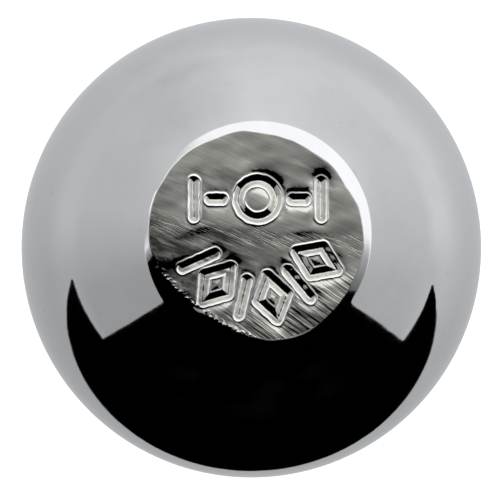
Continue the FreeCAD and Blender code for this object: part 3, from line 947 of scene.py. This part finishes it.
def card(name, corners, glow_map, divisions=24):
    """A reflector card that only polished surfaces see, with its brightness set over its face."""
    a, b, c, d = (np.array(corner, float) for corner in corners)
    shares = np.linspace(0, 1, divisions + 1)
    u, v = np.meshgrid(shares, shares)
    u, v = u[..., None], v[..., None]
    points = (a * (1 - u) + b * u) * (1 - v) + (d * (1 - u) + c * u) * v
    flat = points.reshape(-1, 3)
    index = np.arange(len(flat)).reshape(divisions + 1, divisions + 1)
    corners_of = (index[:-1, :-1], index[:-1, 1:], index[1:, 1:], index[1:, :-1])
    faces = np.stack([k.ravel() for k in corners_of], axis=1)
    mesh = bpy.data.meshes.new(name)
    mesh.from_pydata((flat * MM).tolist(), [], faces.tolist())
    colours = mesh.color_attributes.new("glow", "FLOAT_COLOR", "POINT")
    glow = np.ones((len(flat), 4))
    glow[:, :3] = glow_map(flat)
    colours.data.foreach_set("color", glow.astype(np.float32).ravel())
    board = bpy.data.objects.new(name, mesh)
    bpy.context.collection.objects.link(board)
    material = bpy.data.materials.new(name)
    material.use_nodes = True
    tree = material.node_tree
    tree.nodes.clear()
    shade = node(tree, "ShaderNodeAttribute", attribute_name="glow").outputs["Color"]
    lamp = node(tree, "ShaderNodeEmission", {"Color": shade, "Strength": 1.0})
    node(tree, "ShaderNodeOutputMaterial", {"Surface": lamp.outputs["Emission"]})
    mesh.materials.append(material)
    for ray in ("camera", "diffuse", "transmission", "volume_scatter", "shadow"):
        setattr(board, f"visible_{ray}", False)


def cool(values, blue=0.02):
    """Grey values as slightly blue colours."""
    values = np.asarray(values)
    return np.stack([values * (1 - blue), values, values * (1 + blue)], axis=1)


TENT_LEFT, TENT_RIGHT = -337.0, 370.0
TENT_BACK = 322.0
TENT_TOP_LEFT, TENT_TOP_RIGHT = BALL_Z + 280, BALL_Z + 259
FLOOR_Z = SHANK_END
SKIRT_DEPTH = 190.0
DARK_ROOM_Y = -420.0
# Brightness of the tent's walls at each heading in degrees from +X, seen from the ball.
WALL_HEADINGS = [-40, -15, 0, 15, 30, 45, 60, 75, 90, 105, 120, 135, 150, 165, 180, 195, 220]
WALL_GLOWS = [
    0.54, 0.61, 0.69, 0.75, 0.79, 0.81, 0.83, 0.90, 0.92,
    0.81, 0.71, 0.70, 0.66, 0.66, 0.57, 0.46, 0.44,
]


def floor_glow(p):
    # The floor card glows less within about 260 mm of the stud, a painted shadow of the stud, and less
    # towards the front and the left, painted shade on the floor.
    reach = np.hypot(p[:, 0], p[:, 1])
    far = smooth_step(30, 260, reach)
    front = 1 - 0.22 * smooth_step(60, -60, p[:, 1])
    side = 1 - 0.20 * smooth_step(20, -180, p[:, 0])
    return cool((0.64 + 0.22 * far) * front * side, 0.022)


def wall_glow(p):
    """The walls' brightness: bright high up at the back, and like the floor at the bottom."""
    heading = np.degrees(np.arctan2(p[:, 1], p[:, 0]))
    heading = np.where(heading < -90, heading + 360, heading)
    level = np.interp(heading, WALL_HEADINGS, WALL_GLOWS)
    away = np.abs(heading - 85)
    high = smooth_step(120, 270, p[:, 2] - BALL_Z) * smooth_step(100, 25, away)
    up = smooth_step(FLOOR_Z, FLOOR_Z + 70, p[:, 2])[:, None]
    return cool(level + 0.10 * high, 0.003) * up + floor_glow(p) * (1 - up)


CEILING_EDGE = [(-337, -223), (-132, 6), (137, -49), (370, -231)]


def ceiling_glow(p):
    """Dim along the opening that the camera looks through, bright further in, then as the walls."""
    xs, ys = zip(*CEILING_EDGE)
    beyond = p[:, 1] - np.interp(p[:, 0], xs, ys)
    level = 0.20 + 0.30 * smooth_step(0, 70, beyond) + 0.92 * smooth_step(60, 115, beyond)
    far = smooth_step(210, 330, np.hypot(p[:, 0], p[:, 1]))
    return cool(level, 0.012) * (1 - far)[:, None] + wall_glow(p) * far[:, None]


def make_tent():
    """A light tent seen only in reflections: floor, side and back walls and a cut-away ceiling."""
    z0, z1, z2 = FLOOR_Z, TENT_TOP_LEFT, TENT_TOP_RIGHT
    left, right, back, dark = TENT_LEFT, TENT_RIGHT, TENT_BACK, DARK_ROOM_Y
    front = [(left, -58, z0), (right, -70, z0)]
    card("tent_floor", front + [(right, back, z0), (left, back, z0)], floor_glow, 48)
    for name, x, bottom, foot, top_y, top_z in (
        ("left", left, (-205, BALL_Z - 48), (-56, BALL_Z - 66), -223, z1),
        ("right", right, (-224, BALL_Z - 55), (-72, BALL_Z - 68), -231, z2),
    ):
        lower_front = [(x, *bottom), (x, *foot), (x, foot[0], top_z), (x, top_y, top_z)]
        lower_back = [(x, foot[0], z0), (x, back, z0), (x, back, top_z), (x, foot[0], top_z)]
        card(f"tent_{name}_front", lower_front, wall_glow, 24)
        card(f"tent_{name}_back", lower_back, wall_glow, 40)
    card(
        "tent_back",
        [(left, back, z0), (right, back, z0), (right, back, z2), (left, back, z1)],
        wall_glow,
        40,
    )

    # Skirts under the floor's level, which only pieces below the shank's end reflect.
    low = z0 - SKIRT_DEPTH
    for name, (near, far) in {
        "left": ((left, -55), (left, back)),
        "back": ((left, back), (right, back)),
        "right": ((right, back), (right, -55)),
    }.items():
        corners = [(*near, z0 - 1), (*far, z0 - 1), (*far, low), (*near, low)]
        card(f"tent_skirt_{name}", corners, wall_glow, 24)

    def dim(p):
        patches = smooth_step(-0.2, 1.4, waves(p[:, 0], p[:, 2], 150, 41))
        middle = smooth_step(330, 180, np.abs(p[:, 0])) * smooth_step(z2, z2 - 150, p[:, 2])
        return cool(0.0022 * patches * middle * smooth_step(z0, z0 + 100, p[:, 2]), 0)

    card(
        "dark_room",
        [(left, dark, z0), (right, dark, z0), (right, dark, z2), (left, dark, z1)],
        dim,
        24,
    )

    def level(x):
        return z1 + (z2 - z1) * (x - left) / (right - left)

    for place, (near, far) in enumerate(zip(CEILING_EDGE, CEILING_EDGE[1:])):
        corners = [(*near, level(near[0])), (*far, level(far[0]))]
        corners += [(far[0], back, level(far[0])), (near[0], back, level(near[0]))]
        card(f"tent_ceiling_{place}", corners, ceiling_glow, 40)


STUDIO_REACH = 3000.0
STUDIO_Z = -79.0


def make_floor():
    """A plain pale floor, under the nut's lowest place, that can be looked through from below."""
    mesh = bpy.data.meshes.new("studio_floor")
    reach, z = STUDIO_REACH * MM, STUDIO_Z * MM
    corners = [(-reach, -reach, z), (reach, -reach, z), (reach, reach, z), (-reach, reach, z)]
    mesh.from_pydata(corners, [], [(0, 1, 2, 3)])
    floor = bpy.data.objects.new("studio_floor", mesh)
    bpy.context.collection.objects.link(floor)
    material, tree, shader = new_material("studio_floor")
    shader.inputs["Base Color"].default_value = (0.9, 0.9, 0.9, 1)
    shader.inputs["Roughness"].default_value = 0.9
    shader.inputs["Specular IOR Level"].default_value = 0.0
    output = next(n for n in tree.nodes if n.type == "OUTPUT_MATERIAL")
    behind = node(tree, "ShaderNodeNewGeometry").outputs["Backfacing"]
    clear = node(tree, "ShaderNodeBsdfTransparent").outputs["BSDF"]
    mixed = node(tree, "ShaderNodeMixShader", {0: behind, 1: shader.outputs["BSDF"], 2: clear})
    tree.links.new(mixed.outputs["Shader"], output.inputs["Surface"])
    mesh.materials.append(material)
    floor.visible_glossy = False


def make_light():
    world = bpy.data.worlds.new("studio")
    bpy.context.scene.world = world
    world.use_nodes = True
    background = next(n for n in world.node_tree.nodes if n.type == "BACKGROUND")
    background.inputs["Color"].default_value = (0.98, 0.99, 1.0, 1)
    background.inputs["Strength"].default_value = 1.3
    world.cycles_visibility.glossy = False
    lamp = bpy.data.lights.new("overhead_softbox", "AREA")
    lamp.shape = "RECTANGLE"
    lamp.size, lamp.size_y = 0.9, 0.9
    lamp.energy = 4.0
    softbox = bpy.data.objects.new("overhead_softbox", lamp)
    softbox.location = (0.1, 0.25, 1.1)
    softbox.rotation_mode = "QUATERNION"
    softbox.rotation_quaternion = softbox.location.to_track_quat("Z", "Y")
    softbox.visible_glossy = False
    softbox.visible_camera = False
    bpy.context.collection.objects.link(softbox)


def make_camera():
    """Looks down on the ball from just off its axis, at the distance that its size gives."""
    back = Vector((-0.0290, -0.0596, 0.9978)).normalized()
    right = (Vector((1, 0, 0)) - back * back.x).normalized()
    up = back.cross(right)
    distance = 460.0
    focal_pixels = 4436.0
    frame_pixels = 500.0
    sensor = 36.0
    centre = Vector((0, 0, BALL_Z))
    aim = centre - (right * 1.34 + up * 2.36) * (distance / focal_pixels)
    camera = bpy.data.cameras.new("camera")
    camera.sensor_width = sensor
    camera.lens = focal_pixels / frame_pixels * sensor
    camera.clip_start, camera.clip_end = 0.01, 20
    viewer = bpy.data.objects.new("camera", camera)
    bpy.context.collection.objects.link(viewer)
    viewer.matrix_world = Matrix.Translation((aim + back * distance) * MM) @ Matrix(
        (right, up, back)
    ).transposed().to_4x4()
    bpy.context.scene.camera = viewer


bpy.context.scene.view_settings.view_transform = "Standard"
make_camera()
make_light()
make_floor()
make_tent()
make_stud([chrome_ball(), chrome_land(), chrome_thread(), chrome_edge_painted_highlight()])
make_nut(zinc())
make_washer(spring())
